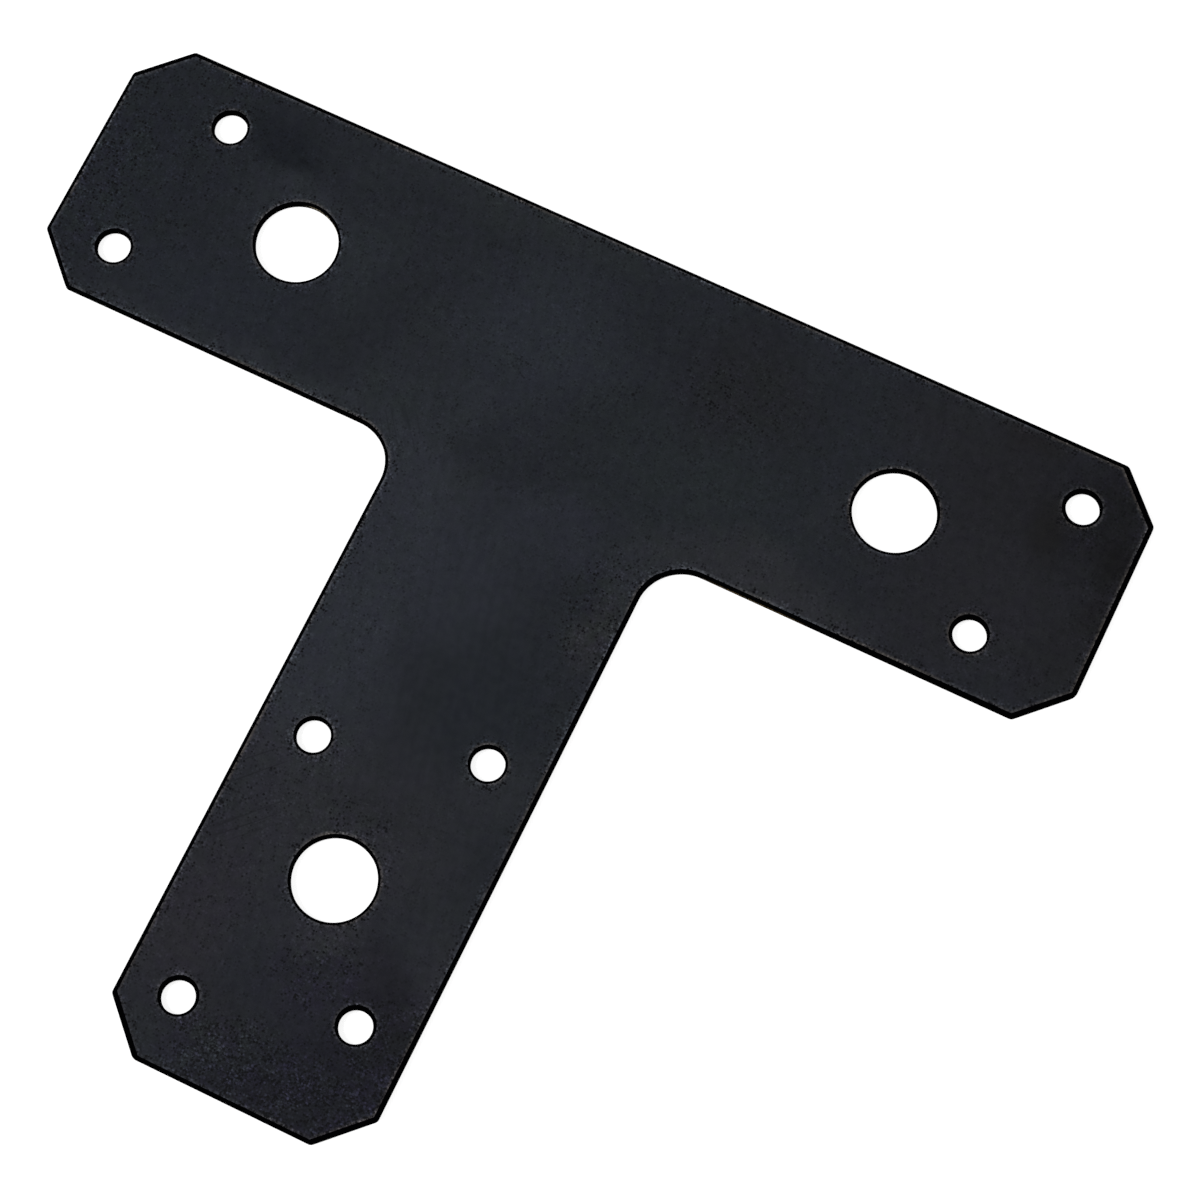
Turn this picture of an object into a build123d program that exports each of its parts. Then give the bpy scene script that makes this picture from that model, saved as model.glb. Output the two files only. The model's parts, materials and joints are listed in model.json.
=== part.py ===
from build123d import *
import os

# A T-shaped plate bracket, blanked and pierced from one piece of 14 gauge steel sheet
# and coated black all over. A bar lies across the head of a stem of the same width.
# The plate lies flat, with its back face on z = 0 and its front face up.
# x runs along the bar and y up the stem, from the crossing of their centrelines.

# the T's outline
bar_length = 304.8
bar_width = 76.2
stem_width = 76.2
overall_height = 254.0
corner_clip = 12.7
clip_round = 1.5
inside_fillet = 12.5

# the sheet, with its coat
thickness = 2.1
front_edge_radius = 0.25

# a large round hole for a bolt, near the end of each of the three arms
bolt_hole_diameter = 22.6
bolt_hole_from_end = 63.5

# small round holes for screws, in staggered pairs, one hole at each long edge of an arm
screw_hole_diameter = 9.1
screw_hole_from_edge = 15.875
screw_hole_from_end = 19.05
screw_hole_stagger = 12.7
stem_pair_spacing = 76.2

# each arm's end, as a place whose own x points along the arm, towards the crossing
left_end = Pos(-bar_length / 2, 0)
right_end = Pos(bar_length / 2, 0) * Rot(Z=180)
stem_end = Pos(0, bar_width / 2 - overall_height) * Rot(Z=90)

bolt_holes = [end * Pos(bolt_hole_from_end, 0) for end in (left_end, right_end, stem_end)]


def staggered_pair(end, arm_width, outer_side, outer_distance):
    """Two screw holes across an arm: the outer one on the given side, the other further in."""
    side = outer_side * (arm_width / 2 - screw_hole_from_edge)
    outer_hole = end * Pos(outer_distance, side)
    inner_hole = end * Pos(outer_distance + screw_hole_stagger, -side)
    return [outer_hole, inner_hole]


screw_holes = [
    *staggered_pair(left_end, bar_width, -1, screw_hole_from_end),
    *staggered_pair(right_end, bar_width, -1, screw_hole_from_end),
    *staggered_pair(stem_end, stem_width, 1, screw_hole_from_end),
    *staggered_pair(stem_end, stem_width, 1, screw_hole_from_end + stem_pair_spacing),
]


def is_inside_corner(corner):
    """True where a side of the stem meets the underside of the bar."""
    return Vector(abs(corner.X), corner.Y) == Vector(stem_width / 2, -bar_width / 2)


def blank():
    """The T's flat outline with its clipped corners, inside fillets and pierced holes."""
    with BuildSketch() as outline:
        Rectangle(bar_length, bar_width)
        with Locations((0, bar_width / 2)):
            Rectangle(stem_width, overall_height, align=(Align.CENTER, Align.MAX))
        outer_corners = outline.vertices().filter_by(is_inside_corner, reverse=True)
        chamfer(outer_corners, corner_clip)
        clip_corners = outline.vertices().filter_by(is_inside_corner, reverse=True)
        fillet(clip_corners, clip_round)
        inside_corners = outline.vertices().filter_by(is_inside_corner)
        fillet(inside_corners, inside_fillet)
        with Locations(*bolt_holes):
            Circle(bolt_hole_diameter / 2, mode=Mode.SUBTRACT)
        with Locations(*screw_holes):
            Circle(screw_hole_diameter / 2, mode=Mode.SUBTRACT)
    return outline.sketch


def t_plate():
    """The blank at full thickness, its front edges and hole rims softened by the punching."""
    with BuildPart() as plate:
        add(blank())
        extrude(amount=thickness)
        front_face = plate.faces().sort_by(Axis.Z)[-1]
        fillet(front_face.edges(), front_edge_radius)
    return plate.part


os.makedirs("parts", exist_ok=True)
export_step(t_plate(), "parts/t_plate.step")
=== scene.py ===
import json
import math

import bmesh
import bpy
from mathutils import Matrix, Vector


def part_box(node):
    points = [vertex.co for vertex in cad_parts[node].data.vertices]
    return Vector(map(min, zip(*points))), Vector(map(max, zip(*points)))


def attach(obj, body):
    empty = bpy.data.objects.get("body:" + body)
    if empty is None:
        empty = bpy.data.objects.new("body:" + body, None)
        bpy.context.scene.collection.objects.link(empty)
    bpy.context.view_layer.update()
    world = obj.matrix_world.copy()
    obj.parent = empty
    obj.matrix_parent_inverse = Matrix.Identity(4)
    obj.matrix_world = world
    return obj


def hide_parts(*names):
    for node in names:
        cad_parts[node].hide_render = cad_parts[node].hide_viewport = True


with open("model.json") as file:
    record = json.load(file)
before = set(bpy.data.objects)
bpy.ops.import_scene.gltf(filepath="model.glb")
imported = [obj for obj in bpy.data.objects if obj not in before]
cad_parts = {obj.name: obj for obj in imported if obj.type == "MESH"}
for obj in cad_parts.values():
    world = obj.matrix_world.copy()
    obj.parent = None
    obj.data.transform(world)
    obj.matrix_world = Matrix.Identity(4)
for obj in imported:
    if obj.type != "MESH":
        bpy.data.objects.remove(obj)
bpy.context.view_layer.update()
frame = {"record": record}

# The plate
# One flat piece of 14 gauge steel sheet, blanked to a T and pierced with eleven plain
# holes, then powder coated black. The punch rolls the front edges over as it cuts, further
# on some sides than on others. Painted shade makes the rolls and the cut walls near black.

MM = 0.001
plate_low, plate_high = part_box("t_plate")
THICKNESS = plate_high.z
BAR_WIDTH = 76.2 * MM
HALF_STEM = 38.1 * MM
CORNER_CLIP = 12.7 * MM
CLIP_ROUND = 1.5 * MM
WORN_CLIP_ROUND = 3.2 * MM
INSIDE_FILLET = 12.5 * MM
BOLT_HOLE_RADIUS = 11.3 * MM
SCREW_HOLE_RADIUS = 4.55 * MM
ROLL_DEPTH = 0.2 * MM
ROLL_STEPS = 4
HOLE_ROLL_REACH = 0.73 * MM
END_HOLE_ROLL_REACH = 0.88 * MM
END_HOLE_LEAN = 0.2 * MM
PUNCHED_BAND_HEIGHT = 0.95 * MM
EDGE_BAND_WIDTH = 3.0 * MM
# edges that turn less than this are shaded smooth
SMOOTH_BELOW = math.radians(35)
# heights that differ by less than this count as equal
HAIR = 0.01 * MM
# a face with a normal more upright than this lies flat, and is no part of a roll
LEVEL = 0.99999

bar_underside = plate_high.y - BAR_WIDTH
stem_length = bar_underside - plate_low.y


def pick(kind, wanted):
    """Selects just the edges, or the faces, that are wanted of the mesh being edited."""
    shape = bmesh.from_edit_mesh(bpy.context.edit_object.data)
    bpy.ops.mesh.select_all(action="DESELECT")
    bpy.ops.mesh.select_mode(type={"edges": "EDGE", "faces": "FACE"}[kind])
    for part in getattr(shape, kind):
        if wanted(part):
            part.select_set(True)
    bmesh.update_edit_mesh(bpy.context.edit_object.data)


def middle(edge):
    """The point halfway along an edge."""
    return (edge.verts[0].co + edge.verts[1].co) / 2


def upright(edge):
    """True for an edge that runs from the back face to the front one."""
    return abs(edge.verts[0].co.z - edge.verts[1].co.z) > THICKNESS / 2


def at_inside_corner(place):
    """True where a side of the stem meets the underside of the bar."""
    return abs(abs(place.x) - HALF_STEM) < MM and abs(place.y - bar_underside) < MM


def at_worn_clip(place, within):
    """True within a distance of the upper corner of the clip at the bar's lower right."""
    corner = Vector((plate_high.x, bar_underside + CORNER_CLIP))
    return (place.xy - corner).length < within


# the bar, with the stem drawn down from the middle of its underside
bpy.ops.object.select_all(action="DESELECT")
bpy.ops.mesh.primitive_cube_add(
    size=1,
    location=(0, plate_high.y - BAR_WIDTH / 2, THICKNESS / 2),
    scale=(plate_high.x - plate_low.x, BAR_WIDTH, THICKNESS),
)
plate = bpy.context.active_object
plate.name = "bracket_plate"
bpy.ops.object.transform_apply(location=True, rotation=True, scale=True)
bpy.ops.object.mode_set(mode="EDIT")
for side in (-HALF_STEM, HALF_STEM):
    bpy.ops.mesh.select_all(action="SELECT")
    bpy.ops.mesh.bisect(plane_co=(side, 0, 0), plane_no=(1, 0, 0))
pick("faces", lambda face: face.normal.y < -0.9 and abs(face.calc_center_median().x) < HALF_STEM)
bpy.ops.mesh.extrude_region_move(TRANSFORM_OT_translate={"value": (0, -stem_length, 0)})
bpy.ops.mesh.select_all(action="SELECT")
bpy.ops.mesh.dissolve_limited(angle_limit=math.radians(1))

# clipped outer corners
pick("edges", lambda edge: upright(edge) and not at_inside_corner(middle(edge)))
bpy.ops.mesh.bevel(offset=CORNER_CLIP, segments=1, affect="EDGES")

# Places on the straight sides: how far the roll reaches over the face there, in mm, and how
# bright the painted highlight beside the roll is.
SIDES = (
    ((-125, 38.1), 1.15, 1.35),
    ((-70, 38.1), 0.92, 1.5),
    ((0, 38.1), 0.88, 1.6),
    ((70, 38.1), 0.92, 1.2),
    ((125, 38.1), 1.12, 1.1),
    ((-146, 32), 1.24, 1.5),
    ((-152.4, 0), 0.9, 1.7),
    ((-146, -32), 1.12, 1.5),
    ((-120, -38.1), 0.74, 1.9),
    ((-60, -38.1), 0.74, 1.9),
    ((-38.1, -62), 0.88, 2.1),
    ((-38.1, -90), 0.94, 2.1),
    ((-38.1, -127), 0.92, 1.9),
    ((-38.1, -165), 0.96, 1.6),
    ((-38.1, -190), 1.13, 1.5),
    ((-32, -210), 1.5, 0.4),
    ((0, -215.9), 1.1, 0.8),
    ((32, -210), 1.2, 0.9),
    ((38.1, -190), 1.2, 1.1),
    ((38.1, -165), 1.05, 0.9),
    ((38.1, -127), 0.98, 1.0),
    ((38.1, -90), 1.1, 1.2),
    ((38.1, -62), 1.14, 1.3),
    ((60, -38.1), 0.92, 2.3),
    ((125, -38.1), 1.15, 1.1),
    ((146, -32), 1.25, 1.2),
    ((152.4, 0), 1.4, 1.4),
    ((146, 32), 1.6, 1.5),
)


def side_at(place):
    """The entry of SIDES that is nearest to a place on the outline."""
    return min(SIDES, key=lambda side: (Vector(side[0]) * MM - place.xy).length)


# Where the rolls of the two sides at each clip corner meet on the face. A side's entry is
# looked up this far along it.
ALONG_SIDE = 12 * MM
shape = bmesh.from_edit_mesh(plate.data)
clip_corners = []
for vertex in shape.verts:
    walls = [face for face in vertex.link_faces if abs(face.normal.z) < 0.1]
    if vertex.co.z > THICKNESS / 2 and not at_inside_corner(vertex.co):
        ways = [(wall.calc_center_median() - vertex.co).normalized() for wall in walls]
        sides = [side_at(vertex.co + way * ALONG_SIDE) for way in ways]
        reaches = Vector((sides[0][1], sides[1][1])) * MM
        meeting = vertex.co.xy - Matrix([wall.normal.xy for wall in walls]).inverted() @ reaches
        clip_corners.append((vertex.co.xy.copy(), meeting, (sides[0][2] + sides[1][2]) / 2))

# The clips' small rounds, one of which is more worn, and the two inside corners. A round of
# a given radius on a 45 degree corner starts this share of the radius from the corner.
corner_share = math.tan(math.radians(45 / 2))
pick("edges", lambda edge: upright(edge) and at_worn_clip(middle(edge), MM))
bpy.ops.mesh.bevel(offset=WORN_CLIP_ROUND * corner_share, segments=6, affect="EDGES")
pick(
    "edges",
    lambda edge: upright(edge)
    and not at_inside_corner(middle(edge))
    and not at_worn_clip(middle(edge), 2 * MM),
)
bpy.ops.mesh.bevel(offset=CLIP_ROUND * corner_share, segments=5, affect="EDGES")
pick("edges", lambda edge: upright(edge) and at_inside_corner(middle(edge)))
bpy.ops.mesh.bevel(offset=INSIDE_FILLET, segments=20, affect="EDGES")

# points on the way along the three longest sides, for the roll to change its reach at
LONG_SIDE = 120 * MM
for outward in (Vector((0, 1, 0)), Vector((-1, 0, 0)), Vector((1, 0, 0))):
    pick(
        "edges",
        lambda edge: edge.calc_length() > LONG_SIDE
        and any(face.normal.dot(outward) > 0.9 for face in edge.link_faces),
    )
    bpy.ops.mesh.subdivide(number_cuts=3)
bpy.ops.object.mode_set(mode="OBJECT")

# The front edges roll over all round the outline. A roll is wider than it is deep, so its
# points are drawn inwards, at the clips' rounds to where the rolls of both sides meet.
bpy.ops.object.mode_set(mode="EDIT")
pick("edges", lambda edge: all(vertex.co.z > THICKNESS / 2 for vertex in edge.verts))
bpy.ops.mesh.bevel(offset=ROLL_DEPTH, segments=ROLL_STEPS, affect="EDGES")
shape = bmesh.from_edit_mesh(plate.data)
roll_foot = THICKNESS - ROLL_DEPTH
outline = [vertex.co.xy.copy() for vertex in shape.verts if abs(vertex.co.z - roll_foot) < HAIR]
# each roll top carries the level of the painted highlight beside it
roll_tops = []
for vertex in shape.verts:
    if vertex.co.z > roll_foot + HAIR:
        foot = min(outline, key=lambda spot: (spot - vertex.co.xy).length)
        corner, top, edge_highlight = min(clip_corners, key=lambda clip: (clip[0] - foot).length)
        share = 1 - math.sqrt(max(0, 1 - ((vertex.co.z - THICKNESS) / ROLL_DEPTH + 1) ** 2))
        if (corner - foot).length > WORN_CLIP_ROUND / 2:
            _, reach, edge_highlight = side_at(foot)
            top = foot + (vertex.co.xy - foot) / share * (reach * MM / ROLL_DEPTH)
        vertex.co.xy = foot.lerp(top, share)
        roll_tops.append((top, edge_highlight))
bmesh.update_edit_mesh(plate.data)
bpy.ops.mesh.select_all(action="SELECT")
bpy.ops.mesh.remove_doubles(threshold=HAIR / 2)
bpy.ops.object.mode_set(mode="OBJECT")


def flared_punch(name, radius, corners, flare, lean):
    """A round punch at the origin. Its flared shoulder, which may lean to +X, rolls the rim."""
    bpy.ops.object.select_all(action="DESELECT")
    bpy.ops.mesh.primitive_cylinder_add(
        vertices=corners,
        radius=radius,
        depth=THICKNESS,
        location=(0, 0, THICKNESS / 2 - ROLL_DEPTH),
    )
    punch = bpy.context.active_object
    punch.name = name
    bpy.ops.object.transform_apply(location=True, rotation=True, scale=True)
    bpy.ops.object.mode_set(mode="EDIT")
    pick("faces", lambda face: face.normal.z > 0.9)
    bpy.ops.mesh.extrude_region_move(TRANSFORM_OT_translate={"value": (0, 0, 0)})
    reached, leaned, risen = radius, 0.0, 0.0
    for step in range(1, ROLL_STEPS + 1):
        turn = math.radians(90 * step / ROLL_STEPS)
        reach = radius + flare * (1 - math.cos(turn))
        shift = lean * (1 - math.cos(turn))
        rise = ROLL_DEPTH * math.sin(turn)
        if step > 1:
            bpy.ops.mesh.extrude_region_move(TRANSFORM_OT_translate={"value": (0, 0, 0)})
        bpy.ops.transform.translate(value=(shift - leaned, 0, rise - risen))
        grown = reach / reached
        bpy.ops.transform.resize(value=(grown, grown, 1), center_override=(shift, 0, 0))
        reached, leaned, risen = reach, shift, rise
    bpy.ops.mesh.extrude_region_move(TRANSFORM_OT_translate={"value": (0, 0, THICKNESS)})
    pick("faces", lambda face: face.calc_center_median().z < 0 and face.normal.z < -0.9)
    bpy.ops.transform.translate(value=(0, 0, -THICKNESS))
    bpy.ops.object.mode_set(mode="OBJECT")
    return punch


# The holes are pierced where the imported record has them, by round punches whose flared
# shoulders leave a rolled rim. The pairs at the bar's right end and at the stem's end are
# rolled more, mostly on the side of the crossing.
BOLT_CORNERS = 120
SCREW_CORNERS = 72
NEAR_END = 35 * MM
bolt_punch = flared_punch("bolt_punch", BOLT_HOLE_RADIUS, BOLT_CORNERS, HOLE_ROLL_REACH, 0)
screw_punch = flared_punch("screw_punch", SCREW_HOLE_RADIUS, SCREW_CORNERS, HOLE_ROLL_REACH, 0)
end_punch = flared_punch(
    "end_punch", SCREW_HOLE_RADIUS, SCREW_CORNERS, END_HOLE_ROLL_REACH, END_HOLE_LEAN
)
strokes = [
    (bolt_punch, Vector(mount["pos_m"]))
    for mount in frame["record"]["mounts"]
    if mount["kind"] == "bore"
]
for opening in frame["record"]["physics"]["openings"]:
    centre = (Vector(opening["box_m"][0]) + Vector(opening["box_m"][1])) / 2
    rolled_more = plate_high.x - centre.x < NEAR_END or centre.y - plate_low.y < NEAR_END
    strokes.append((end_punch if rolled_more else screw_punch, centre))
bpy.ops.object.select_all(action="DESELECT")
for punch, centre in strokes:
    copied = punch.copy()
    copied.data = punch.data.copy()
    copied.location = (centre.x, centre.y, 0)
    copied.rotation_euler.z = math.atan2(-centre.y, -centre.x)
    bpy.context.scene.collection.objects.link(copied)
    copied.select_set(True)
    bpy.context.view_layer.objects.active = copied
bpy.ops.object.join()
bpy.ops.object.transform_apply(location=True, rotation=True, scale=True)
punch_set = bpy.context.active_object
piercing = plate.modifiers.new("piercing", "BOOLEAN")
piercing.operation = "DIFFERENCE"
piercing.solver = "EXACT"
piercing.object = punch_set
bpy.ops.object.select_all(action="DESELECT")
plate.select_set(True)
bpy.context.view_layer.objects.active = plate
bpy.ops.object.modifier_apply(modifier=piercing.name)
bpy.data.objects.remove(punch_set)

# the line round every wall where the punched band ends and the torn band starts
bpy.ops.object.mode_set(mode="EDIT")
bpy.ops.mesh.select_all(action="SELECT")
bpy.ops.mesh.bisect(plane_co=(0, 0, PUNCHED_BAND_HEIGHT), plane_no=(0, 0, 1))

# A band of the face along every edge, where the coat is grainy. Each point on it keeps how
# near it is to the edge, and how bright the painted highlight is there. Any point further than
# this from the outline is at a hole, and a bolt hole's painted highlight is brightest on one side.
FROM_OUTLINE = 1.4 * EDGE_BAND_WIDTH
HOLE_HIGHLIGHT = 1.15
SIDE_HIGHLIGHT = 1.2
HIGHLIGHT_SIDE = Vector((-0.62, 0.78))
pick("faces", lambda face: face.normal.z > LEVEL)
bpy.ops.mesh.inset(thickness=EDGE_BAND_WIDTH, use_boundary=True, use_even_offset=True)
bpy.ops.object.mode_set(mode="OBJECT")
shape = bmesh.new()
shape.from_mesh(plate.data)
shape.verts.layers.float.new("near_edge")
shape.verts.layers.float.new("painted_highlight")
near_edge = shape.verts.layers.float["near_edge"]
painted_highlight = shape.verts.layers.float["painted_highlight"]
for vertex in shape.verts:
    if vertex.co.z > THICKNESS / 2:
        top, edge_highlight = min(roll_tops, key=lambda spot: (spot[0] - vertex.co.xy).length)
        if (top - vertex.co.xy).length > FROM_OUTLINE:
            punch, centre = min(strokes, key=lambda stroke: (stroke[1].xy - vertex.co.xy).length)
            lip = max(0, (vertex.co.xy - centre.xy).normalized().dot(HIGHLIGHT_SIDE))
            edge_highlight = HOLE_HIGHLIGHT + (SIDE_HIGHLIGHT * lip**2 if punch == bolt_punch else 0)
        vertex[painted_highlight] = edge_highlight
        vertex[near_edge] = any(face.normal.z < LEVEL for face in vertex.link_faces)
for face in shape.faces:
    face.material_index = 0 if abs(face.normal.z) > LEVEL else 1
shape.to_mesh(plate.data)
shape.free()
bpy.ops.object.shade_smooth_by_angle(angle=SMOOTH_BELOW)
for punch in (bolt_punch, screw_punch, end_punch):
    bpy.data.objects.remove(punch)


def new_material(name):
    """A material with an empty node tree, and its tree."""
    material = bpy.data.materials.new(name)
    material.use_nodes = True
    material.node_tree.nodes.clear()
    return material, material.node_tree


def node(tree, kind, settings=None, **inputs):
    """A shader node with its settings. Inputs, by name or numbered as _0, take values or outputs."""
    made = tree.nodes.new("ShaderNode" + kind)
    for setting, value in (settings or {}).items():
        setattr(made, setting, value)
    for name, value in inputs.items():
        number = name[1:]
        socket = made.inputs[int(number) if number.isdigit() else name.replace("_", " ")]
        if isinstance(value, bpy.types.NodeSocket):
            tree.links.new(value, socket)
        else:
            socket.default_value = value
    return made


def between(tree, value, low, high, out_low=0.0, out_high=1.0):
    """A value brought smoothly from one range to another."""
    made = node(
        tree,
        "MapRange",
        {"interpolation_type": "SMOOTHSTEP"},
        Value=value,
        From_Min=low,
        From_Max=high,
        To_Min=out_low,
        To_Max=out_high,
    )
    return made.outputs["Result"]


def blend(tree, share, first, second):
    """Two colours mixed by a share."""
    made = node(tree, "Mix", {"data_type": "RGBA"}, _0=share, _6=first, _7=second)
    return made.outputs[2]


def calculate(tree, operation, first, second=0.0):
    """One step of arithmetic on one or two values."""
    made = node(tree, "Math", {"operation": operation}, _0=first, _1=second)
    return made.outputs[0]


def patch(tree, place, centre, reach, turn=0.0):
    """A soft round or oval place on the face: one at its centre and nothing at its reach."""
    local = node(
        tree,
        "Mapping",
        {"vector_type": "TEXTURE"},
        Vector=place,
        Location=(centre[0] * MM, centre[1] * MM, THICKNESS),
        Rotation=(0, 0, math.radians(turn)),
        Scale=(reach[0] * MM, reach[1] * MM, 1),
    )
    ball = node(tree, "TexGradient", {"gradient_type": "SPHERICAL"}, Vector=local.outputs[0])
    return ball.outputs["Fac"]


# the coat of the two faces: satin black, in soft cloudy patches of slate, green, brown and plum
face_coat, tree = new_material("black_face_coat")
place = node(tree, "TexCoord").outputs["Object"]
slate = (0.0119, 0.0142, 0.0194, 1)
smoky = (0.0105, 0.0126, 0.0172, 1)
clouds = node(tree, "TexNoise", Vector=place, Scale=52.0, Detail=3.0, Roughness=0.55)
cloudy = between(tree, clouds.outputs["Fac"], 0.35, 0.65)
paint = blend(tree, cloudy, slate, smoky)

# the patches' borders wander by a few millimetres
wander = node(tree, "TexNoise", Vector=place, Scale=38.0, Detail=2.0).outputs["Color"]
sway = node(tree, "VectorMath", {"operation": "SUBTRACT"}, _0=wander, _1=(0.5, 0.5, 0.5))
sway = node(tree, "VectorMath", {"operation": "SCALE"}, _0=sway.outputs[0], Scale=22 * MM)
swayed = node(tree, "VectorMath", {"operation": "ADD"}, _0=place, _1=sway.outputs[0]).outputs[0]

# each patch: where it lies and how far it reaches along and across, in mm, its turn in
# degrees, its colour and how strongly it shows
PATCHES = (
    ((-145, 4), (56, 56), 0, (0.0094, 0.0118, 0.0167), 0.9),
    ((-149, -30), (12, 14), 0, (0.0080, 0.0102, 0.0142), 0.8),
    ((-100, -22), (38, 18), 0, (0.0122, 0.0150, 0.0224), 0.7),
    ((-103, 25), (20, 12), -10, (0.0046, 0.0064, 0.0104), 0.88),
    ((-91, 10), (26, 12), 0, (0.0164, 0.0196, 0.0254), 0.85),
    ((-43, -8), (12, 16), 0, (0.0158, 0.0188, 0.0242), 0.6),
    ((-70, 6), (17, 22), 0, (0.0154, 0.0190, 0.0244), 0.8),
    ((-18, 3), (36, 32), 0, (0.0164, 0.0198, 0.0270), 0.9),
    ((-28, -20), (16, 12), 0, (0.0172, 0.0206, 0.0266), 0.7),
    ((-36, 34), (60, 11), 0, (0.0156, 0.0190, 0.0226), 0.7),
    ((-42, -30), (24, 20), 0, (0.0156, 0.0193, 0.0240), 0.9),
    ((-88, -37), (70, 9), 0, (0.0178, 0.0212, 0.0266), 0.85),
    ((38, -16), (44, 30), 0, (0.0126, 0.0162, 0.0198), 0.85),
    ((38, -43), (22, 18), 0, (0.0180, 0.0208, 0.0256), 0.8),
    ((70, -34), (44, 15), 0, (0.0196, 0.0210, 0.0250), 0.85),
    ((76, -8), (12, 14), 0, (0.0142, 0.0166, 0.0206), 0.6),
    ((40, 14), (28, 28), 0, (0.0098, 0.0108, 0.0138), 0.9),
    ((95, 26), (30, 16), 0, (0.0102, 0.0108, 0.0140), 0.8),
    ((112, 34), (16, 9), 0, (0.0080, 0.0074, 0.0086), 0.85),
    ((7, -43), (26, 18), 0, (0.0168, 0.0193, 0.0274), 0.8),
    ((-30, -46), (26, 18), 0, (0.0190, 0.0222, 0.0280), 0.9),
    ((-12, -66), (34, 34), 0, (0.0178, 0.0208, 0.0288), 0.85),
    ((-26, -92), (14, 18), 0, (0.0204, 0.0238, 0.0326), 0.75),
    ((-15, -112), (16, 30), 0, (0.0190, 0.0217, 0.0300), 0.75),
    ((-34, -119), (13, 26), 0, (0.0226, 0.0226, 0.0302), 0.78),
    ((-22, -129), (13, 9), 0, (0.0208, 0.0230, 0.0298), 0.8),
    ((35, -64), (10, 18), 0, (0.0178, 0.0190, 0.0226), 0.85),
    ((16, -92), (20, 26), 0, (0.0104, 0.0132, 0.0182), 0.8),
    ((27, -112), (14, 18), 0, (0.0170, 0.0190, 0.0240), 0.75),
    ((118, -8), (48, 52), 0, (0.0114, 0.0118, 0.0156), 0.95),
    ((145, -18), (14, 26), 0, (0.0086, 0.0090, 0.0116), 0.85),
    ((138, 20), (40, 32), -20, (0.0056, 0.0058, 0.0086), 0.88),
    ((112, 16), (22, 20), 0, (0.0094, 0.0096, 0.0126), 0.7),
    ((128, 12), (9, 13), 0, (0.0056, 0.0053, 0.0056), 0.7),
    ((141, 24), (16, 14), 0, (0.0036, 0.0038, 0.0058), 0.85),
    ((149, 12), (8, 12), -15, (0.0022, 0.0021, 0.0030), 0.9),
    ((150, -3), (8, 12), 0, (0.0058, 0.0058, 0.0076), 0.85),
    ((-4, -142), (52, 44), 0, (0.0170, 0.0182, 0.0232), 0.95),
    ((2, -133), (20, 9), 0, (0.0130, 0.0140, 0.0184), 0.75),
    ((-30, -178), (24, 40), 0, (0.0166, 0.0158, 0.0222), 0.85),
    ((33, -166), (11, 24), 0, (0.0174, 0.0186, 0.0240), 0.85),
    ((12, -180), (29, 20), 20, (0.0105, 0.0104, 0.0176), 0.86),
    ((20, -173), (13, 12), 0, (0.0098, 0.0100, 0.0152), 0.85),
    ((5, -168), (14, 9), 0, (0.0192, 0.0197, 0.0256), 0.9),
    ((28, -187), (18, 20), 0, (0.0056, 0.0056, 0.0094), 0.88),
    ((-13, -197), (15, 13), 0, (0.0112, 0.0119, 0.0162), 0.8),
    ((20, -206), (54, 26), 12, (0.0067, 0.0069, 0.0124), 0.95),
)
for centre, reach, turn, colour, strength in PATCHES:
    share = between(tree, patch(tree, swayed, centre, reach, turn), 0.0, 0.8, 0.0, strength)
    paint = blend(tree, share, paint, (*colour, 1))

# a paler blue strip down the left of the stem, with a clear border
strip = between(tree, patch(tree, place, (-36, -78), (25, 54)), 0.0, 0.3, 0.0, 0.8)
pale_blue = (0.0190, 0.0220, 0.0298, 1)
paint = blend(tree, strip, paint, pale_blue)

# soft mottle and faint long streaks left by the spray
mottle = node(tree, "TexNoise", Vector=place, Scale=380.0, Detail=2.0, Roughness=0.5)
along = node(
    tree,
    "Mapping",
    {"vector_type": "TEXTURE"},
    Vector=place,
    Rotation=(0, 0, math.radians(15)),
    Scale=(1.6 * MM, 30 * MM, 1),
)
streaks = node(tree, "TexNoise", Vector=along.outputs[0], Scale=1.0, Detail=2.0)
grain = calculate(
    tree,
    "MULTIPLY",
    between(tree, mottle.outputs["Fac"], 0.25, 0.75, 0.96, 1.04),
    between(tree, streaks.outputs["Fac"], 0.3, 0.7, 0.95, 1.05),
)

# Fine grain of dark specks and pale ones. It is strong along the edges and near the stem's
# end, comes in clusters elsewhere, and is nearly gone where the face is calm. Each entry is
# where a patch lies, how far it reaches, in mm, and how strong the grain is there.
EVEN_GRAIN = 1.3
EDGE_GRAIN = 6.4
GRAIN_PATCHES = (
    ((-134, 12), (34, 40), 2.4),
    ((-148, -8), (18, 32), 4.4),
    ((-126, 32), (16, 10), 2.9),
    ((-66, -18), (24, 16), 0.9),
    ((38, 10), (26, 16), 2.6),
    ((112, 8), (34, 34), 0.8),
    ((134, -8), (26, 16), 0.9),
    ((136, -28), (18, 13), 1.6),
    ((149, 0), (9, 24), 2.8),
    ((143, 22), (20, 18), 4.2),
    ((-4, -54), (36, 26), 0.8),
    ((5, -92), (28, 50), 0.0),
    ((30, -140), (18, 44), 0.7),
    ((29, -58), (12, 22), 3.4),
    ((-18, -125), (13, 11), 2.9),
    ((-28, -152), (18, 50), 1.8),
    ((-2, -138), (18, 12), 2.6),
    ((8, -176), (16, 14), 4.8),
    ((32, -192), (14, 24), 8.4),
    ((8, -206), (40, 15), 11.0),
)
lively = EVEN_GRAIN
for centre, reach, level in GRAIN_PATCHES:
    lively = between(tree, patch(tree, place, centre, reach), 0.0, 0.7, lively, level)

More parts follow.
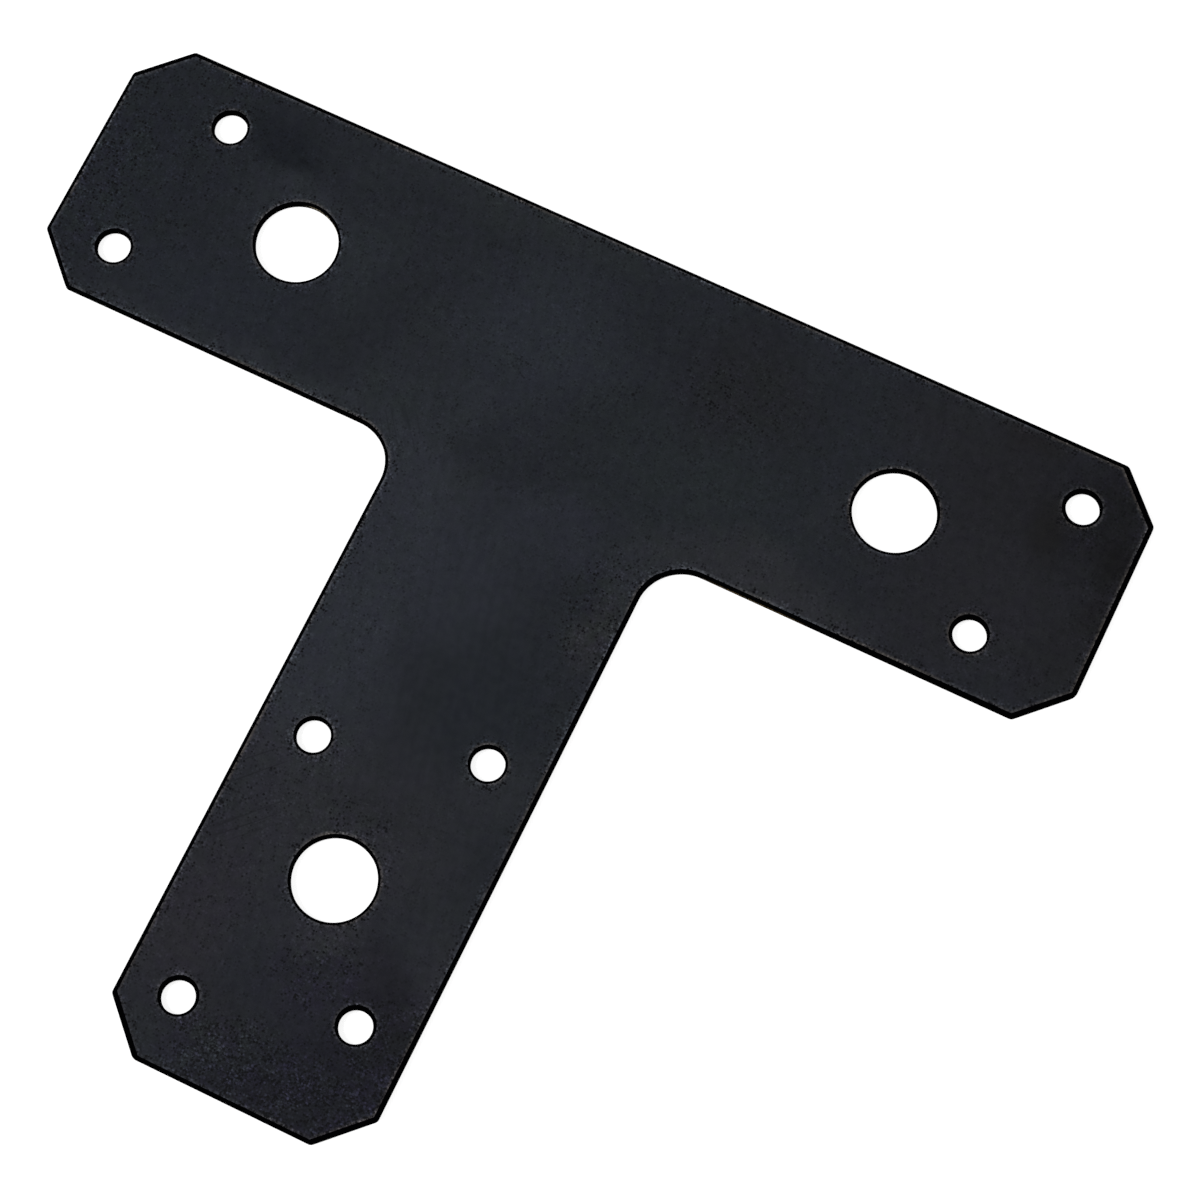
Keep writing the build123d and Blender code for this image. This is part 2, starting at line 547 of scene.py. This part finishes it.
# a slight drift of hue between violet and grey green, which the calm places have less of
drift = node(tree, "TexNoise", Vector=place, Scale=200.0, Detail=3.0, Roughness=0.7)
drift = calculate(tree, "SUBTRACT", between(tree, drift.outputs["Fac"], 0.3, 0.7), 0.5)
drift = calculate(tree, "MULTIPLY", drift, between(tree, lively, 0.0, 6.0, 0.3, 1.2))
drift = calculate(tree, "ADD", drift, 0.5)
violet = (1.06, 0.95, 1.14, 1)
grey_green = (0.94, 1.05, 0.86, 1)
hue = blend(tree, drift, violet, grey_green)
paint = node(tree, "VectorMath", {"operation": "MULTIPLY"}, _0=paint, _1=hue).outputs[0]

near = node(tree, "Attribute", {"attribute_name": "near_edge"}).outputs["Fac"]
edge_grain = calculate(tree, "MULTIPLY", near, EDGE_GRAIN)
lively = calculate(tree, "ADD", lively, edge_grain)
clusters = node(tree, "TexNoise", Vector=place, Scale=260.0, Detail=1.0)
clusters = between(tree, clusters.outputs["Fac"], 0.3, 0.7, 0.5, 1.5)
lively = calculate(tree, "MULTIPLY", lively, clusters)

# a fine even grain, under round flecks of many sizes, more than half of them dark
salt = node(tree, "TexNoise", Vector=place, Scale=1700.0, Detail=1.0)
salt = calculate(tree, "SUBTRACT", salt.outputs["Fac"], 0.5)
salt = calculate(tree, "MULTIPLY", salt, 0.45)
cells = node(tree, "TexVoronoi", {"voronoi_dimensions": "2D"}, Vector=place, Scale=1250.0)
chance = node(tree, "SeparateColor", Color=cells.outputs["Color"])
fleck_size = between(tree, chance.outputs["Red"], 0.15, 1.0, 0.0, 0.55)
flecks = calculate(tree, "SUBTRACT", fleck_size, cells.outputs["Distance"])
flecks = between(tree, flecks, 0.0, 0.15)
pale_or_dark = between(tree, chance.outputs["Green"], 0.46, 0.52, 0.176, -0.272)
flecks = calculate(tree, "MULTIPLY", flecks, pale_or_dark)
specks = calculate(tree, "ADD", salt, flecks)
specks = calculate(tree, "MULTIPLY", specks, lively)
pale = calculate(tree, "ADD", specks, 1.0)
pale = calculate(tree, "MAXIMUM", pale, 1.0)
grain = calculate(tree, "MULTIPLY", grain, pale)
dark = calculate(tree, "MULTIPLY", specks, -1.0)
dark = calculate(tree, "MAXIMUM", dark, 0.0)
dark = calculate(tree, "MINIMUM", dark, 1.0)

# single dark dots here and there
dots = node(tree, "TexVoronoi", {"voronoi_dimensions": "2D"}, Vector=place, Scale=130.0)
dot_size = node(tree, "SeparateColor", Color=dots.outputs["Color"]).outputs["Green"]
dot_size = between(tree, dot_size, 0.35, 1.0, 0.0, 0.075)
dot_size = calculate(tree, "MULTIPLY", dot_size, between(tree, lively, 0.8, 2.2))
dots = calculate(tree, "SUBTRACT", dot_size, dots.outputs["Distance"])
dark = calculate(tree, "MAXIMUM", dark, between(tree, dots, 0.0, 0.02, 0.0, 0.9))

# faint parallel scratches: where they lie, how far they reach, which way they run and how
# dark they are
SCRATCHES = (
    ((-32, -141), (14, 18), 46, 0.4),
    ((-40, -37), (8, 11), -54, 0.26),
)
for centre, reach, turn, depth in SCRATCHES:
    along = node(
        tree,
        "Mapping",
        {"vector_type": "TEXTURE"},
        Vector=place,
        Rotation=(0, 0, math.radians(turn)),
        Scale=(70 * MM, 3.2 * MM, 1),
    )
    lines = node(tree, "TexNoise", Vector=along.outputs[0], Scale=1.0, Detail=0.0)
    lines = calculate(tree, "SUBTRACT", lines.outputs["Fac"], 0.5)
    lines = calculate(tree, "ABSOLUTE", lines)
    lines = between(tree, lines, 0.05, 0.01, 0.0, depth)
    scratched = between(tree, patch(tree, place, centre, reach), 0.0, 0.4)
    lines = calculate(tree, "MULTIPLY", lines, scratched)
    dark = calculate(tree, "MAXIMUM", dark, lines)

# A painted highlight along the edges, here warmer and there cooler. The pale specks brighten
# what is under them, and the dark ones, the dots and the scratches cover it.
HIGHLIGHT_SHARE = 0.34
beside_edge = between(tree, near, 1 - HIGHLIGHT_SHARE, 1.0, 0.0, 0.25)
edge_highlight = node(tree, "Attribute", {"attribute_name": "painted_highlight"}).outputs["Fac"]
edge_highlight = calculate(tree, "MULTIPLY", edge_highlight, beside_edge)
highlight_tint = node(tree, "TexNoise", Vector=place, Scale=32.0, Detail=2.0)
highlight_tint = between(tree, highlight_tint.outputs["Fac"], 0.38, 0.62)
warm_highlight = (0.091, 0.078, 0.066, 1)
cool_highlight = (0.071, 0.077, 0.092, 1)
paint = blend(tree, edge_highlight, paint, blend(tree, highlight_tint, warm_highlight, cool_highlight))
paint = node(tree, "VectorMath", {"operation": "SCALE"}, _0=paint, Scale=grain).outputs[0]
pit = (0.0003, 0.0004, 0.0018, 1)
paint = blend(tree, dark, paint, pit)

# the coat's skin: fine orange peel on long low waves
peel = node(tree, "TexNoise", Vector=place, Scale=760.0, Detail=2.0, Roughness=0.5)
waves = node(tree, "TexNoise", Vector=place, Scale=120.0, Detail=1.0)
height = calculate(tree, "MULTIPLY", waves.outputs["Fac"], 3.0)
height = calculate(tree, "ADD", height, peel.outputs["Fac"])
skin = node(tree, "Bump", Strength=0.35, Distance=0.03 * MM, Height=height)
gloss = between(tree, mottle.outputs["Fac"], 0.3, 0.7, 0.42, 0.5)
surface = node(
    tree,
    "BsdfPrincipled",
    Base_Color=paint,
    Roughness=gloss,
    Specular_IOR_Level=0.2,
    Normal=skin.outputs[0],
)
node(tree, "OutputMaterial", Surface=surface.outputs[0])
plate.data.materials.append(face_coat)

# Painted shade on the rolled edges and the cut walls: a near-black, warmer copy of the coat
# with no gloss. The punch scored the upper band of the walls upright, and below it the steel
# tore away.
edge_shade_coat, tree = new_material("black_edge_shade_coat")
place = node(tree, "TexCoord").outputs["Object"]
height_up = node(tree, "SeparateXYZ", Vector=place).outputs["Z"]
drawn = node(tree, "Mapping", Vector=place, Scale=(1, 1, 0.12))
scores = node(tree, "TexNoise", Vector=drawn.outputs[0], Scale=2600.0, Detail=3.0)
torn = node(tree, "TexNoise", Vector=place, Scale=1500.0, Detail=4.0)
in_torn_band = between(tree, height_up, PUNCHED_BAND_HEIGHT, PUNCHED_BAND_HEIGHT - 0.15 * MM)
tone = between(tree, scores.outputs["Fac"], 0.3, 0.7)
# painted shade: the walls' tones are far darker than the face coat
scored_dark = (0.0010, 0.0010, 0.0010, 1)
scored_pale = (0.0018, 0.0016, 0.0015, 1)
torn_tone = (0.0026, 0.0021, 0.0017, 1)
roll_painted_shade = (0.0007, 0.0007, 0.0009, 1)
paint = blend(tree, tone, scored_dark, scored_pale)
paint = blend(tree, in_torn_band, paint, torn_tone)
# painted shade: the rolls are darker still, nearly black
on_roll = between(tree, height_up, THICKNESS - 1.2 * ROLL_DEPTH, THICKNESS - 0.6 * ROLL_DEPTH)
paint = blend(tree, on_roll, paint, roll_painted_shade)

# Two painted bronze-coloured glints along the middle of the wall: where each lies, how far
# it reaches, in mm, and its colour.
PAINTED_GLINTS = (
    ((66, -38), (17, 17), (0.11, 0.075, 0.035, 1)),
    ((-83, 10), (10, 10), (0.34, 0.29, 0.20, 1)),
)
broken = between(tree, torn.outputs["Fac"], 0.4, 0.6)
below_top = between(tree, height_up, 1.5 * MM, 1.2 * MM)
above_foot = between(tree, height_up, 0.25 * MM, 0.5 * MM)
for centre, reach, glint_colour in PAINTED_GLINTS:
    # each painted glint is broken up, and kept off the wall's top and its foot
    glint = between(tree, patch(tree, place, centre, reach), 0.0, 0.5)
    for share in (broken, below_top, above_foot):
        glint = calculate(tree, "MULTIPLY", glint, share)
    paint = blend(tree, glint, paint, glint_colour)

# fine scores in the punched band, and a rough surface in the torn one
wall_height = blend(tree, in_torn_band, scores.outputs["Color"], torn.outputs["Color"])
skin = node(tree, "Bump", Strength=0.4, Distance=0.05 * MM, Height=wall_height)
surface = node(
    tree,
    "BsdfPrincipled",
    Base_Color=paint,
    Roughness=0.65,
    Specular_IOR_Level=0.0,
    Normal=skin.outputs[0],
)
node(tree, "OutputMaterial", Surface=surface.outputs[0])
plate.data.materials.append(edge_shade_coat)

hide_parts("t_plate")
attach(plate, "root")

# The floor
# A plain white sheet of card, far larger than the plate, which lies flat on it. It shows
# white to the camera and still takes the plate's soft shadow.

CARD_GAP = 0.05 * MM

bpy.ops.object.select_all(action="DESELECT")
bpy.ops.mesh.primitive_plane_add(size=12, location=(0, 0, -CARD_GAP))
floor = bpy.context.active_object
floor.name = "floor_card"
bpy.ops.object.transform_apply(location=True, rotation=True, scale=True)
card, tree = new_material("white_card")
place = node(tree, "TexCoord").outputs["Object"]
paper = node(tree, "TexNoise", Vector=place, Scale=900.0)
weave = node(tree, "Bump", Strength=0.05, Distance=0.05 * MM, Height=paper.outputs["Fac"])
matt = node(tree, "BsdfDiffuse", Color=(0.72, 0.72, 0.72, 1), Normal=weave.outputs[0])

# a glow that the camera and reflections see, and that lights nothing else
CARD_GLOW = 0.68
ray = node(tree, "LightPath")
seen = calculate(tree, "ADD", ray.outputs["Is Camera Ray"], ray.outputs["Is Glossy Ray"])
seen = calculate(tree, "ADD", seen, ray.outputs["Is Transmission Ray"])
seen = calculate(tree, "MULTIPLY", seen, CARD_GLOW)
glow = node(tree, "Emission", Color=(1, 1, 1, 1), Strength=seen)
both = node(tree, "AddShader", _0=matt.outputs[0], _1=glow.outputs[0])
node(tree, "OutputMaterial", Surface=both.outputs[0])
floor.data.materials.append(card)

# The light
# A pale studio: a dome of light that is bright at the horizon and dim overhead, a broad soft
# lamp at the lower left and a weaker one at the upper right.

HORIZON_LEVEL = 0.8
CEILING_LEVEL = 0.12
AIM = Vector((0, -60 * MM, 0))

world = bpy.data.worlds.new("studio")
bpy.context.scene.world = world
world.use_nodes = True
tree = world.node_tree
sky = node(tree, "SeparateXYZ", Vector=node(tree, "TexCoord").outputs["Generated"])
level = node(tree, "MapRange", Value=sky.outputs["Z"], To_Min=HORIZON_LEVEL, To_Max=CEILING_LEVEL)
tree.links.new(level.outputs["Result"], tree.nodes["Background"].inputs["Strength"])
tree.nodes["Background"].inputs["Color"].default_value = (1, 1, 1, 1)


def soft_lamp(name, place, size, share):
    """A square lamp that looks at the plate and gives that share of a plain level of light."""
    data = bpy.data.lights.new(name, "AREA")
    data.shape = "SQUARE"
    data.size = size
    lamp = bpy.data.objects.new(name, data)
    bpy.context.scene.collection.objects.link(lamp)
    to_plate = AIM - Vector(place)
    lamp.location = place
    lamp.rotation_euler = to_plate.to_track_quat("-Z", "Y").to_euler()
    tilt = place[2] / to_plate.length
    data.energy = share * math.pi**2 * to_plate.length**2 / tilt


soft_lamp("key_lamp", place=(-2.4, -1.8, 2.6), size=2.2, share=0.42)
soft_lamp("fill_lamp", place=(2.6, 2.0, 2.8), size=2.4, share=0.2)

# The camera
# It stands above the plate, a little to the lower right, and looks down on it at the
# photograph's angle. Its lens is long, so the far arm looks nearly as wide as the near one.

lens = bpy.data.cameras.new("camera")
lens.lens = 112.05
lens.sensor_width = 36
lens.clip_start = 0.01
camera = bpy.data.objects.new("camera", lens)
bpy.context.scene.collection.objects.link(camera)
camera.location = (0.16592, -0.2952, 0.94436)
camera.rotation_euler = [math.radians(angle) for angle in (16.2897, 1.1338, 25.8201)]
bpy.context.scene.camera = camera
bpy.context.scene.view_settings.view_transform = "Standard"
